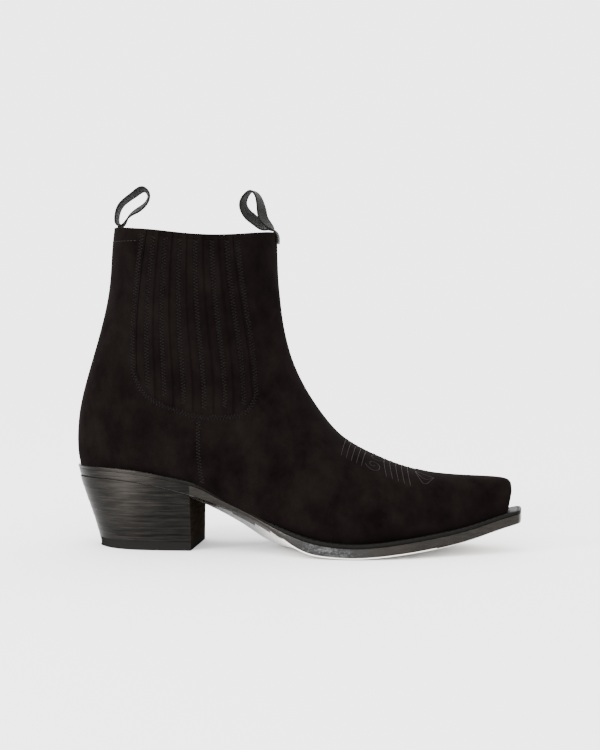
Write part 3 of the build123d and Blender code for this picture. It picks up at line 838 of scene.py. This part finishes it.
def laid_on_side(path, sign, lift):
    """A path of the side view laid on one side of the boot, raised by a number or by a function of place."""
    points = []
    for x, z in path:
        point, normal = onto_side(x, z, sign)
        height = lift(x, z) if callable(lift) else lift
        points.append(point + normal * height)
    return np.array(points)


def cover_lift(x, z):
    """Lift that keeps thread on the gathered suede."""
    low = float(gore_x(0.0, np.array([z]))[0])
    high = float(gore_x(1.0, np.array([z]))[0])
    return float(gore_relief((x - low) / (high - low))) + 0.16


foot_curve = gore_foot[np.argsort(gore_foot[:, 0])]
seam_curve = np.array(SIDE_SEAM)[::-1]
threads = []
for sign in (-1, 1):
    for line in GORE_LINES:
        heights = np.linspace(90.0, 212.0, 123)
        xs = gore_x(line, heights)
        floor_z = np.interp(xs, foot_curve[:, 0], foot_curve[:, 1]) + 3.2
        top_z = height_on(TOPLINE, xs) - 3.0
        keep = (heights > floor_z) & (heights < top_z)
        path = np.stack([xs, heights], axis=1)[keep]
        threads.append(laid_on_side(zigzag(path), sign, cover_lift))
    border = spread(GORE_RING, 260, fine=3)
    outwards = -left_of(unit(np.gradient(border, axis=0)))
    probe = border[130:131] + outwards[130]
    if ring_distance(probe[:, 0], probe[:, 1], GORE_RING)[0] > 0:
        outwards = -outwards
    border = border + outwards * BESIDE_GORE
    border = border[border[:, 1] < height_on(TOPLINE, border[:, 0]) - 2.5]
    threads.append(laid_on_side(zigzag(border), sign, THREAD_LIFT))
    heights = np.linspace(47.0, 90.5, 45)
    seam = np.stack([cubic(seam_curve[:, 1], seam_curve[:, 0], heights), heights], axis=1)
    threads.append(laid_on_side(zigzag(seam), sign, THREAD_LIFT))
points, faces = tubes(threads, THREAD)
finish_mesh(new_piece("zigzag_stitching", points, faces, thread, "boot"))


def dashes(path, stitch, gap):
    """A running stitch: a path cut into short raised lengths."""
    path = np.asarray(path, float)
    run = lengths(path)
    parts = []
    start = 0.0
    while start + stitch < run[-1]:
        parts.append(at_lengths(path, run, np.linspace(start, start + stitch, 5)))
        start += stitch + gap
    return parts


# A line of running stitch below the topline, round the back from gore to gore.
line = []
centre_x = -70.0
for azimuth in np.radians(np.linspace(128.0, 232.0, 150)):
    direction = Vector((math.cos(azimuth), math.sin(azimuth), 0.0))
    hit, normal, _, _ = surface_tree.ray_cast(Vector((centre_x, 0.0, 209.5)), direction)
    if hit is not None and level_gore(np.array([hit]))[0] < -4.5:
        line.append(np.array(hit) + np.array(direction) * 0.1)
points, faces = tubes(dashes(line, 2.4, 0.8), 0.16)
finish_mesh(new_piece("topline_stitching", points, faces, thread, "boot"))

# Fancy stitching across the toe, the same on both sides of the middle: ribs, curls, ribs and a leaf.
def rib(x, bow):
    """A line from near the middle of the toe outwards, bowed along the boot."""
    return [(x + bow * t * t, 2.0 + 25.0 * t) for t in np.linspace(0, 1, 22)]


motif = [rib(x, -1.2) for x in (35.0, 38.4, 41.8, 45.2, 48.6)]
turns = np.linspace(0, 2.9 * math.pi, 34)
motif.append([(55.0 + (0.8 + 0.55 * a) * math.cos(a), 20.5 + (0.8 + 0.6 * a) * math.sin(a)) for a in turns])
motif.append([(56.2 + 3.4 * math.cos(a), 8.0 + 4.2 * math.sin(a)) for a in np.linspace(0.4, 5.4, 20)])
motif += [rib(x, 3.2) for x in (61.0, 65.0, 69.0, 73.0, 77.0)]
for width in (11.5, 6.5):
    shares = np.linspace(0, 1, 22)
    motif.append([(82.0 + 13.0 * t, 7.0 + 6.0 * t + width * math.sin(math.pi * t)) for t in shares])
motif.append([(82.0 + 13.0 * t, 7.0 + 6.0 * t) for t in np.linspace(0, 1, 14)])
ribs = []
for path in motif:
    for sign in (-1, 1):
        laid = [onto_top(x, sign * y) for x, y in path]
        ribs.append(np.array([point + normal * 0.1 for point, normal in laid]))
points, faces = tubes(ribs, 0.17)
finish_mesh(new_piece("toe_stitching", points, faces, thread, "boot"))


# ---------------------------------------------------------------- bottom
EDGE_STATIONS = 300
outline_dense = spread(OUTLINE, 6000, closed=True, fine=200)
heel_tip = int(np.argmin(outline_dense[:, 0]))
outline_dense = np.roll(outline_dense, -heel_tip, axis=0)
toe_tip = int(np.argmax(outline_dense[:, 0]))
outer_half = outline_dense[:toe_tip + 1]
inner_half = np.vstack([outline_dense[toe_tip:], outline_dense[:1]])[::-1]
share_along = np.linspace(0, math.pi, EDGE_STATIONS)
station_x = (outer_half[0, 0] + outer_half[-1, 0]) / 2
station_x = station_x - (outer_half[-1, 0] - outer_half[0, 0]) / 2 * np.cos(share_along)
outer_y = np.interp(station_x, np.maximum.accumulate(outer_half[:, 0]), outer_half[:, 1])
inner_y = np.interp(station_x, np.maximum.accumulate(inner_half[:, 0]), inner_half[:, 1])
# Plan ring against the clock from the heel's back: outer side, toe, inner side.
SOLE_RING = np.vstack([
    np.stack([station_x, outer_y], axis=1),
    np.stack([station_x, inner_y], axis=1)[-2:0:-1],
])
sole_pairs = [(0, 0)] + [(k, len(SOLE_RING) - k) for k in range(1, EDGE_STATIONS - 1)]
sole_pairs.append((EDGE_STATIONS - 1, EDGE_STATIONS - 1))
crown_table = np.array(CROWN)


def crown(x, y):
    """Height of the outsole's underside."""
    rows = cubic(crown_table[:, 0], crown_table[:, 1:], np.ravel(x)).reshape((*np.shape(x), 3))
    at_edge, at_middle, half = np.moveaxis(rows, -1, 0)
    return at_middle + (at_edge - at_middle) * (np.asarray(y) / half) ** 2


def ladder(points, pairs, count, height, first=None):
    """Faces across a ring. Each pair of ring points is joined by a line of points at a given height."""
    lines = []
    for number, (a, b) in enumerate(pairs):
        if a == b:
            lines.append([a] * (count + 1))
            continue
        if first is not None and number == 0:
            lines.append([a] + first + [b])
            continue
        line = [a]
        for k in range(1, count):
            t = k / count
            x = points[a][0] * (1 - t) + points[b][0] * t
            y = points[a][1] * (1 - t) + points[b][1] * t
            line.append(len(points))
            points.append((x, y, float(height(x, y))))
        line.append(b)
        lines.append(line)
    faces = []
    for low, high in zip(lines[:-1], lines[1:]):
        for k in range(count):
            corners = []
            for v in (low[k], low[k + 1], high[k + 1], high[k]):
                if v not in corners:
                    corners.append(v)
            if len(corners) > 2:
                faces.append(tuple(corners))
    return faces


def stacked_rings(loops):
    """Points and side faces of closed rings, one above another."""
    points = [tuple(p) for loop in loops for p in loop]
    return points, grid_faces(len(loops), len(loops[0]), close_columns=True)


BACK_LEAN_FROM = 108.0
BACK_LEAN_OVER = 36.0
BACK_LEAN_BELOW = 55.0
BACK_LEAN_SLOPE = 0.24


def sole_loop(inset, height):
    """One loop of the sole's edge; round the back of the heel it leans in like the stack below it."""
    ring = inwards(SOLE_RING, inset)
    z = height(ring[:, 0], ring[:, 1])
    at_back = np.clip((-ring[:, 0] - BACK_LEAN_FROM) / BACK_LEAN_OVER, 0, 1)
    lean_in = at_back * np.maximum(BACK_LEAN_BELOW - z, 0) * BACK_LEAN_SLOPE
    ring = inwards(SOLE_RING, inset + lean_in)
    return np.column_stack([ring, z])


def welt_low(x, y):
    return height_on(WELT_BOTTOM, x) + 0 * y


def welt_high(x, y):
    return height_on(FEATHER, x) + 0 * y


def raised(curve, rise):
    return lambda x, y: curve(x, y) + rise


def edge_blend(share):
    """Height on the sole's edge, at a share of the way down from the welt to the underside."""
    return lambda x, y: welt_low(x, y) * (1 - share) + crown(x, y) * share


def edge_foot(most, share):
    """Height just above the underside, less where the edge is thin."""
    return lambda x, y: crown(x, y) + np.minimum(most, share * (welt_low(x, y) - crown(x, y)))


sole_top = raised(welt_low, -0.08)
edge_profile = (
    (1.5, sole_top), (0.3, sole_top), (0.06, raised(welt_low, -0.2)), (0.0, edge_blend(0.2)),
    (0.0, edge_blend(0.55)), (0.1, edge_foot(0.9, 0.3)), (0.35, edge_foot(0.35, 0.12)),
    (0.75, crown), (1.5, crown),
)
SOLE_STEPS = 24
loops = [sole_loop(inset, height) for inset, height in edge_profile]
points, faces = stacked_rings(loops)
ring_count = len(SOLE_RING)
last_start = (len(loops) - 1) * ring_count
faces += ladder(points, sole_pairs, SOLE_STEPS, sole_top)
faces += ladder(points, [(a + last_start, b + last_start) for a, b in sole_pairs], SOLE_STEPS, crown)
outsole = new_piece("outsole_leather", points, faces, [edge, sole, stack], "boot")
finish_mesh(outsole, 0.9)
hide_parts("outsole")

# The outsole's faces: inked edge, underside, and the band that matches the stacked heel.
UNDERSIDE_SLACK = 0.3
RIM_HEIGHT = 0.8
RIM_STATIONS = (-4.0, 98.0)
MARGIN_SHARE = 0.085
MARGIN_ENDS = -2.0
MARGIN_FADES_OVER = 22.0
MARGIN_STARTS = -66.0
SOLE_LOOK = 1
STACK_LOOK = 2
for polygon in outsole.data.polygons:
    x, y, z = [value / MM for value in polygon.center]
    above = z - float(crown(x, y))
    on_underside = abs(above) <= UNDERSIDE_SLACK and polygon.normal.z < -0.4
    width = np.interp(x, station_x, inner_y - outer_y + 0.001)
    share = (y - np.interp(x, station_x, outer_y)) / width
    taper = min(max((MARGIN_ENDS - x) / MARGIN_FADES_OVER, 0.0), 1.0)
    inked_margin = min(share, 1 - share) < MARGIN_SHARE * taper and x > MARGIN_STARTS
    rim = above < RIM_HEIGHT and RIM_STATIONS[0] < x < RIM_STATIONS[1]
    if rim or (on_underside and not inked_margin):
        polygon.material_index = SOLE_LOOK
    elif x < BREAST_X:
        polygon.material_index = STACK_LOOK


def edge_strip(name, keep, section, material, slot, *nodes):
    """A strip along the sole's edge: a closed cross-section swept along part of the ring, its ends closed."""
    index = [k for k in range(ring_count) if keep[k]]
    jump = [k for k in range(len(index) - 1) if index[k + 1] - index[k] > 1]
    if jump:
        index = index[jump[0] + 1:] + index[:jump[0] + 1]
    rows = [sole_loop(inset, raised(curve, rise))[index] for inset, curve, rise in section]
    points = np.array(rows).reshape(-1, 3)
    across = len(section)
    along = len(index)
    faces = grid_faces(across, along, close_rows=True)
    faces.append(tuple(k * along for k in range(across)))
    faces.append(tuple(k * along + along - 1 for k in reversed(range(across))))
    obj = finish_mesh(new_piece(name, points, faces, material, "boot"), 0.9)
    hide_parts(*nodes)
    return obj


# Cross-sections of welt and rand: inset from the sole's edge, which curve, rise above it.
RAND_FRONT_X = BREAST_X + 4.0
welt_section = [
    (9.0, welt_low, 0.02), (0.5, welt_low, 0.02), (0.12, welt_low, 0.3), (0.0, welt_low, 0.9),
    (0.0, welt_high, -0.7), (0.15, welt_high, -0.3), (0.5, welt_high, -0.08), (1.1, welt_high, -0.03),
    (1.5, welt_high, -0.12), (1.8, welt_high, -0.5), (2.4, welt_high, -0.5), (2.7, welt_high, -0.12),
    (3.2, welt_high, -0.03), (9.0, welt_high, -0.03),
]
rand_section = [
    (9.0, welt_low, 0.02), (0.15, welt_low, 0.02), (0.0, welt_low, 0.15), (0.0, welt_low, 1.2),
    (-0.25, welt_high, -0.7), (0.05, welt_high, -0.12), (1.4, welt_high, -0.03), (9.0, welt_high, -0.03),
]
in_welt = SOLE_RING[:, 0] > RAND_FRONT_X
in_rand = SOLE_RING[:, 0] < RAND_FRONT_X + 0.6
edge_strip("welt_leather", in_welt, welt_section, welt_leather, "welt_leather", "welt")
edge_strip("heel_rand_leather", in_rand, rand_section, stack, "heel_leather", "heel_rand")

welt_path = sole_loop(2.1, raised(welt_high, -0.28))
forward = welt_path[SOLE_RING[:, 0] > -30.0]
points, faces = tubes(dashes(forward, 3.4, 1.0), 0.36)
finish_mesh(new_piece("welt_stitching", points, faces, thread, "boot"))


# ---------------------------------------------------------------- heel
levels = np.array(HEEL_LEVELS)
HEEL_STATIONS = 181
BREAST_COUNT = 20


def heel_ring(z):
    """D-shaped level of the heel, from the outer breast corner round the back to the inner one."""
    back_x, half = cubic(levels[:, 0], levels[:, 1:], z)[0]
    front_x = BREAST_X + 15.0
    deep = back_x - front_x
    shape = [
        (front_x, half * 0.93), (front_x + deep * 0.25, half * 0.97), (front_x + deep * 0.52, half),
        (front_x + deep * 0.76, half * 0.88), (front_x + deep * 0.93, half * 0.50), (back_x, 0.0),
    ]
    shape = shape + [(x, -y) for x, y in reversed(shape[:-1])]
    dense = spread(shape[::-1], 900, fine=60)
    dense = dense[dense[:, 0] <= BREAST_X]
    half_ring = dense[:len(dense) // 2 + 1]
    run = lengths(half_ring)
    half_ring = at_lengths(half_ring, run, np.linspace(0, run[-1], HEEL_STATIONS // 2 + 1))
    half_ring[0, 0] = BREAST_X
    half_ring[-1, 1] = 0.0
    return np.vstack([half_ring, half_ring[-2::-1] * (1, -1)])


# One ring of the heel for each millimetre of height.
HEEL_HEIGHTS = np.linspace(-1.0, 58.0, 60)
HEEL_RINGS = np.array([heel_ring(z) for z in HEEL_HEIGHTS])
HEEL_LENGTH = BREAST_X + TOE_X
ROOF_GAP = 0.02


def joint_height(joint, x):
    """Height of a joint between lifts, running straight from the breast to the back of the heel."""
    return joint[0] + (joint[0] - joint[1]) / HEEL_LENGTH * (x - BREAST_X)


def between_joints(low, high, share, xy):
    """Heights at a share of the way between two joints, kept under the outsole."""
    roof = crown(xy[:, 0], xy[:, 1]) - ROOF_GAP
    return np.minimum(low, roof) * (1 - share) + np.minimum(high, roof) * share


def heel_loop(joint_low, joint_high, share, inset):
    """A closed loop on the heel's side at a share of the way between two joints."""
    z = np.full(HEEL_STATIONS, joint_low[0])
    column = np.arange(HEEL_STATIONS)
    for _ in range(4):
        place = np.clip(z - HEEL_HEIGHTS[0], 0, len(HEEL_HEIGHTS) - 1.001)
        k = place.astype(int)
        t = (place - k)[:, None]
        xy = HEEL_RINGS[k, column] * (1 - t) + HEEL_RINGS[k + 1, column] * t
        z = between_joints(joint_height(joint_low, xy[:, 0]), joint_height(joint_high, xy[:, 0]), share, xy)
    xy = xy + left_of(unit(np.gradient(xy, axis=0))) * np.asarray(inset).reshape(-1, 1)
    xy[:, 0] = np.minimum(xy[:, 0], BREAST_X)
    t = np.linspace(0, 1, BREAST_COUNT + 1)[1:-1, None]
    front = xy[-1] * (1 - t) + xy[0] * t
    front_z = between_joints(joint_low[0], joint_high[0], share, front)
    return np.column_stack([np.vstack([xy, front]), np.concatenate([z, front_z])])


def lift_piece(name, number, profile, materials, node):
    """One lift of the heel; its profile is shares of its height with insets."""
    joint_low = LIFT_JOINTS[number]
    joint_high = LIFT_JOINTS[number + 1]
    loops = [heel_loop(joint_low, joint_high, share, inset) for share, inset in profile]
    points, faces = stacked_rings(loops)
    across = len(loops[0])
    pairs = [(k, HEEL_STATIONS - 1 - k) for k in range(HEEL_STATIONS // 2)]
    pairs.append((HEEL_STATIONS // 2, HEEL_STATIONS // 2))
    front = list(range(across - 1, HEEL_STATIONS - 1, -1))

    def on_joint(joint):
        return lambda x, y: min(joint_height(joint, x), float(crown(x, y)) - ROOF_GAP)

    faces += ladder(points, pairs, BREAST_COUNT, on_joint(joint_low), front)
    start = (len(loops) - 1) * across
    upper = [(a + start, b + start) for a, b in pairs]
    faces += ladder(points, upper, BREAST_COUNT, on_joint(joint_high), [v + start for v in front])
    obj = finish_mesh(new_piece(name, points, faces, materials, "boot"), 0.6)
    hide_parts(node)
    if len(materials) > 1:
        for polygon in obj.data.polygons:
            if abs(polygon.normal.x) > 0.9 and abs(polygon.center.x / MM - BREAST_X) < 0.6:
                polygon.material_index = 1
    return obj


KNURL_DEPTH = 0.11
KNURL_TURNS = 0.87 / 1.6
knurl = KNURL_DEPTH * (1 - np.cos(np.arange(HEEL_STATIONS) * 2 * math.pi * KNURL_TURNS))
rubber_profile = [
    (0.0, 0.9), (0.02, 0.45 + knurl), (0.08, 0.1 + knurl), (0.2, knurl), (0.3, 0.0), (0.9, 0.0), (0.97, 0.05),
    (1.0, 0.22),
]
lift_piece("top_lift_rubber", 0, rubber_profile, [rubber], "top_lift")
LIFT_COUNT = 8
LIFT_FLARE = 1.1
LIFT_UNEVENNESS = (0.0, 0.05, -0.03, 0.04, 0.0, 0.06, -0.02, 0.03)
LIFT_EDGE = ((0.0, 0.1), (0.02, 0.02), (0.06, 0.0), (0.5, 0.0), (0.94, 0.0), (0.98, 0.02), (1.0, 0.1))
for number in range(1, LIFT_COUNT + 1):
    off = LIFT_UNEVENNESS[number - 1] + LIFT_FLARE * number / LIFT_COUNT
    profile = [(share, off + inset) for share, inset in LIFT_EDGE]
    name = f"heel_lift_leather_{number}"
    lift_piece(name, number, profile, [stack, breast], f"heel_lift_{number}")


# ---------------------------------------------------------------- pull tabs
TAPE_WIDTH = 11.0
TAPE_THICKNESS = 1.3


def tape_points(line, out, section, turns):
    """Points and texture places of a tape section carried along a line, turned by an angle at each point."""
    run = lengths(line)
    points = []
    uvs = []
    for k, turn in enumerate(turns):
        for across, lift in section:
            w = across * math.cos(turn) - lift * math.sin(turn)
            n = across * math.sin(turn) + lift * math.cos(turn)
            points.append((line[k, 0] + out[k, 0] * n, w, line[k, 1] + out[k, 1] * n))
            uvs.append((run[k], across / TAPE_WIDTH + 0.5))
    return points, uvs


def tab_piece(name, outline, twists, body, node):
    """Webbing loop: a soft-edged tape section carried round the loop, turning a little as it goes."""
    ring = spread(outline, 220, closed=True)
    area = np.sum(np.roll(ring[:, 0], 1) * ring[:, 1] - ring[:, 0] * np.roll(ring[:, 1], 1))
    if area < 0:
        ring = ring[::-1]
    thick = TAPE_THICKNESS / 2
    middle = inwards(ring, thick)
    half = TAPE_WIDTH / 2
    flat = np.linspace(-half + 0.4, half - 0.4, 12)
    rounded = [(half - 0.1, thick * 0.7), (half, 0.0), (half - 0.1, -thick * 0.7)]
    section = [(w, thick) for w in flat] + rounded
    section += [(-w, -h) for w, h in section]
    seam = int(np.argmin(middle[:, 1]))
    turns = []
    for k in range(len(middle)):
        progress = ((k - seam) % len(middle)) / len(middle)
        away = min(1.0, 1.5 * math.sin(math.pi * progress))
        turns.append(away * (twists[0] * (1 - progress) + twists[1] * progress))
    points, uvs = tape_points(middle, -left_of(closed_tangent(middle)), section, turns)
    faces = grid_faces(len(middle), len(section), close_columns=True, close_rows=True)
    obj = finish_mesh(new_piece(name, points, faces, webbing, body, uvs=uvs), 1.2)
    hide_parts(node)
    return obj


tab_piece("rear_tab_webbing", REAR_TAB, (-0.55, 0.05), "rear_tab", "rear_pull_tab")
tab_piece("front_tab_webbing", FRONT_TAB, (0.93, -1.04), "front_tab", "front_pull_tab")


def sewn_end(name, path, thickness):
    """The end of a tab's webbing where it is stitched to the topline."""
    line = spread(path, 30)
    half = TAPE_WIDTH / 2
    thick = thickness / 2
    section = [(-half + 0.3, thick), (half - 0.3, thick), (half, 0.0)]
    section += [(-w, -h) for w, h in section]
    out = -left_of(unit(np.gradient(line, axis=0)))
    points, uvs = tape_points(line, out, section, [0.0] * len(line))
    count = len(section)
    faces = grid_faces(len(line), count, close_columns=True)
    faces.append(tuple(reversed(range(count))))
    faces.append(tuple(range(len(points) - count, len(points))))
    return finish_mesh(new_piece(name, points, faces, webbing, "boot", uvs=uvs), 0.8)


sewn_end("rear_tab_sewn_end", [(-122.2, 222.0), (-121.8, 217.5), (-122.0, 210.0)], 2.2)
sewn_end("front_tab_sewn_end", [(-19.0, 219.2), (-15.6, 217.6), (-12.9, 214.8), (-12.3, 208.0)], 1.3)


# ---------------------------------------------------------------- finishes of the CAD nodes
def dress(material, slot, *nodes):
    """One material for the named CAD nodes; the slot is not used."""
    for name in nodes:
        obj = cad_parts[name]
        obj.data.materials.clear()
        obj.data.materials.append(material)


dress(elastic, "elastic", "elastic_gore_outer", "elastic_gore_inner")
dress(fibreboard, "stiffener", "toe_puff", "heel_counter")
dress(canvas, "interlining", "vamp_interlining", "quarter_interlining")
dress(board, "insole_leather", "insole", "heel_seat_filler")
dress(sock, "lining_leather", "sock_liner")
dress(cork, "cork", "cork_filler")
dress(steel, "steel", "shank", "heel_nails", "top_lift_nails")
dress(wood, "peg_wood", "waist_pegs")
dress(suede_black, "suede", "vamp", "quarter", "gore_cover_outer", "gore_cover_inner")
dress(lining, "lining_leather", "vamp_lining", "quarter_lining")
dress(welt_leather, "welt_leather", "welt")
dress(edge, "sole_leather", "outsole")
dress(rubber, "rubber", "top_lift")
dress(stack, "heel_leather", "heel_rand", *[f"heel_lift_{k}" for k in range(1, 9)])
dress(webbing, "webbing", "rear_pull_tab", "front_pull_tab")


# ---------------------------------------------------------------- stage
FLOOR_GREY = 0.672
WORLD_STRENGTH = 3.85
floor_mesh = bpy.data.meshes.new("floor")
floor_mesh.from_pydata([(-30, -30, 0), (30, -30, 0), (30, 30, 0), (-30, 30, 0)], [], [(0, 1, 2, 3)])
floor_mesh.materials.append(Shader("paper", grey(FLOOR_GREY), 0.95).material)
floor = bpy.data.objects.new("floor", floor_mesh)
bpy.context.scene.collection.objects.link(floor)

world = bpy.data.worlds.new("studio")
world.use_nodes = True
world.node_tree.nodes["Background"].inputs["Color"].default_value = (1.0, 1.0, 1.0, 1.0)
world.node_tree.nodes["Background"].inputs["Strength"].default_value = WORLD_STRENGTH
bpy.context.scene.world = world


def aimed(name, kind, place, target, energy):
    """A lamp at a place, turned towards a target."""
    data = bpy.data.lights.new(name, kind)
    data.energy = energy
    lamp = bpy.data.objects.new(name, data)
    lamp.location = place
    direction = Vector(target) - Vector(place)
    lamp.rotation_euler = direction.to_track_quat("-Z", "Y").to_euler()
    bpy.context.scene.collection.objects.link(lamp)
    return lamp


def soft_sun(name, place, energy, spread_degrees):
    lamp = aimed(name, "SUN", place, (0, 0, 0.1), energy)
    lamp.data.angle = math.radians(spread_degrees)
    return lamp


def strip_light(name, place, target, size, energy):
    lamp = aimed(name, "AREA", place, target, energy)
    lamp.data.shape = "RECTANGLE"
    lamp.data.size = size[0]
    lamp.data.size_y = size[1]
    return lamp


lamps = [
    soft_sun("sky_front", (-0.5, -1.6, 2.4), 4.2, 80.0),
    soft_sun("sky_back", (0.5, 1.4, 2.6), 2.3, 80.0),
    strip_light("heel_strip", (-1.0, -0.8, 0.35), (-0.1, 0.0, 0.05), (0.14, 0.9), 26.0),
]

camera_data = bpy.data.cameras.new("photo")
camera_data.lens = 70.05
camera_data.sensor_width = 36.0
camera = bpy.data.objects.new("photo", camera_data)
camera.location = (0.124, -0.992, 0.165)
yaw = math.radians(6.955)
pitch = math.radians(-2.67)
camera.rotation_euler = (math.pi / 2 + pitch, 0.0, yaw)
bpy.context.scene.collection.objects.link(camera)
bpy.context.scene.camera = camera
